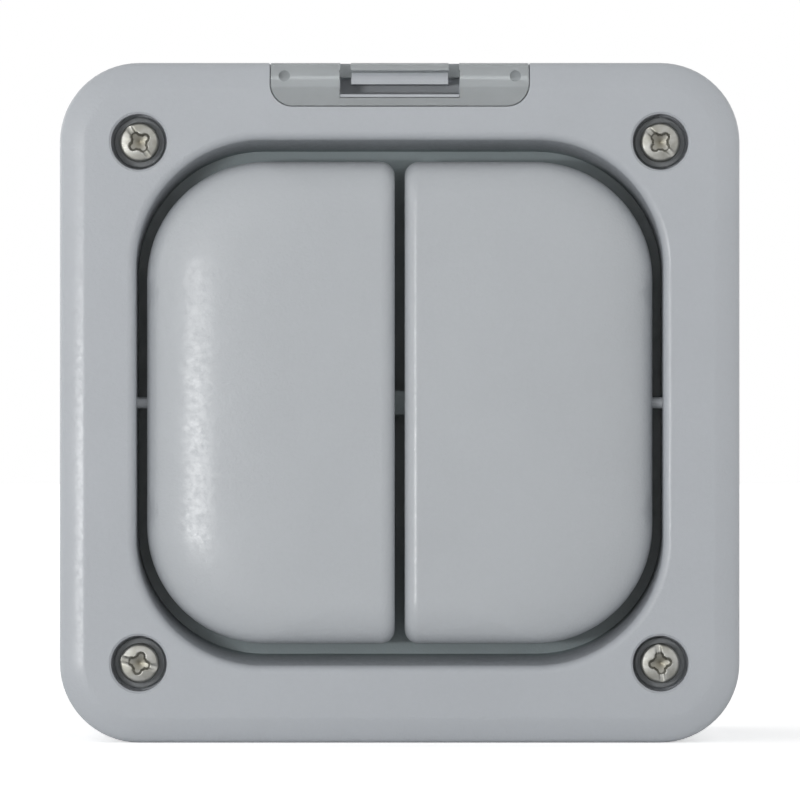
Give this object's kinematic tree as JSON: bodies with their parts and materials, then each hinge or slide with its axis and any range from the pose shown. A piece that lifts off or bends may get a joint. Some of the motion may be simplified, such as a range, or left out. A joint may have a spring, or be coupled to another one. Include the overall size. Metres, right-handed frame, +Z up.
{
  "type": "weatherproof rocker light switch",
  "caption": "Square surface-box weatherproof light switch with side-by-side tilting rockers, sealed cover, corner screws and switch modules inside.",
  "frame": {"origin": "centre of the box's back face, on the wall", "axes": "+Z up the wall, +Y into the wall, so the rockers face -Y, and +X to the right seen from the front"},
  "size_m": [0.096, 0.055, 0.096],
  "materials": {
    "box_grey": "satin moulded",
    "cover_grey": "satin moulded",
    "rocker_grey": "semi-gloss moulded",
    "window_plastic": "milky clear",
    "screw_steel": "plated, worn recess",
    "seal_rubber": "moulded",
    "carrier_plastic": "glass filled",
    "zinc_steel": "zinc plated",
    "brass": "pressed",
    "membrane_rubber": "silicone",
    "module_plastic": "moulded",
    "dolly_plastic": "moulded"
  },
  "bodies": {
    "enclosure": {"back_box": "box_grey", "boss_inserts": "brass", "earth_terminal": "brass", "earth_screw": "zinc_steel", "box_gasket": "seal_rubber", "front_cover": "cover_grey", "cover_screws": "screw_steel", "screw_seals": "seal_rubber", "label_window": "window_plastic", "module_carrier": "carrier_plastic", "module_screws": "zinc_steel", "left_membrane": "membrane_rubber", "left_switch_base": "module_plastic", "left_common_terminal": "brass", "left_way_one_terminal": "brass", "left_way_two_terminal": "brass", "left_terminal_screws": "zinc_steel", "right_membrane": "membrane_rubber", "right_switch_base": "module_plastic", "right_common_terminal": "brass", "right_way_one_terminal": "brass", "right_way_two_terminal": "brass", "right_terminal_screws": "zinc_steel"},
    "left_pad": {"left_rocker": "rocker_grey"},
    "left_actuator": {"left_dolly": "dolly_plastic", "left_plunger": "dolly_plastic", "left_spring": "zinc_steel"},
    "left_see_saw": {"left_moving_contact": "brass"},
    "right_pad": {"right_rocker": "rocker_grey"},
    "right_actuator": {"right_dolly": "dolly_plastic", "right_plunger": "dolly_plastic", "right_spring": "zinc_steel"},
    "right_see_saw": {"right_moving_contact": "brass"}
  },
  "joints": [
    {"name": "left_rocker_tilt", "type": "hinge", "parent": "enclosure", "child": "left_pad", "pos_m": [0, -0.047, 0], "axis": [1, 0, 0], "range_deg": [-3, 3], "stiffness_Nm_per_rad": 0.3, "deforming": ["left_membrane"]},
    {"name": "left_dolly_tilt", "type": "hinge", "parent": "enclosure", "child": "left_actuator", "pos_m": [0, -0.03466, 0], "axis": [1, 0, 0], "range_deg": [-3, 3]},
    {"name": "left_contact_tilt", "type": "hinge", "parent": "enclosure", "child": "left_see_saw", "pos_m": [0, -0.02162, 0], "axis": [1, 0, 0], "range_deg": [-4, 4]},
    {"name": "right_rocker_tilt", "type": "hinge", "parent": "enclosure", "child": "right_pad", "pos_m": [0, -0.047, 0], "axis": [1, 0, 0], "range_deg": [-3, 3], "stiffness_Nm_per_rad": 0.3, "deforming": ["right_membrane"]},
    {"name": "right_dolly_tilt", "type": "hinge", "parent": "enclosure", "child": "right_actuator", "pos_m": [0, -0.03466, 0], "axis": [1, 0, 0], "range_deg": [-3, 3]},
    {"name": "right_contact_tilt", "type": "hinge", "parent": "enclosure", "child": "right_see_saw", "pos_m": [0, -0.02162, 0], "axis": [1, 0, 0], "range_deg": [-4, 4]}
  ],
  "couplings": [
    {"joint": "left_dolly_tilt", "follows": "left_rocker_tilt", "ratio": 1},
    {"joint": "left_contact_tilt", "follows": "left_rocker_tilt", "ratio": -1.3333},
    {"joint": "right_dolly_tilt", "follows": "right_rocker_tilt", "ratio": 1},
    {"joint": "right_contact_tilt", "follows": "right_rocker_tilt", "ratio": -1.3333}
  ]
}
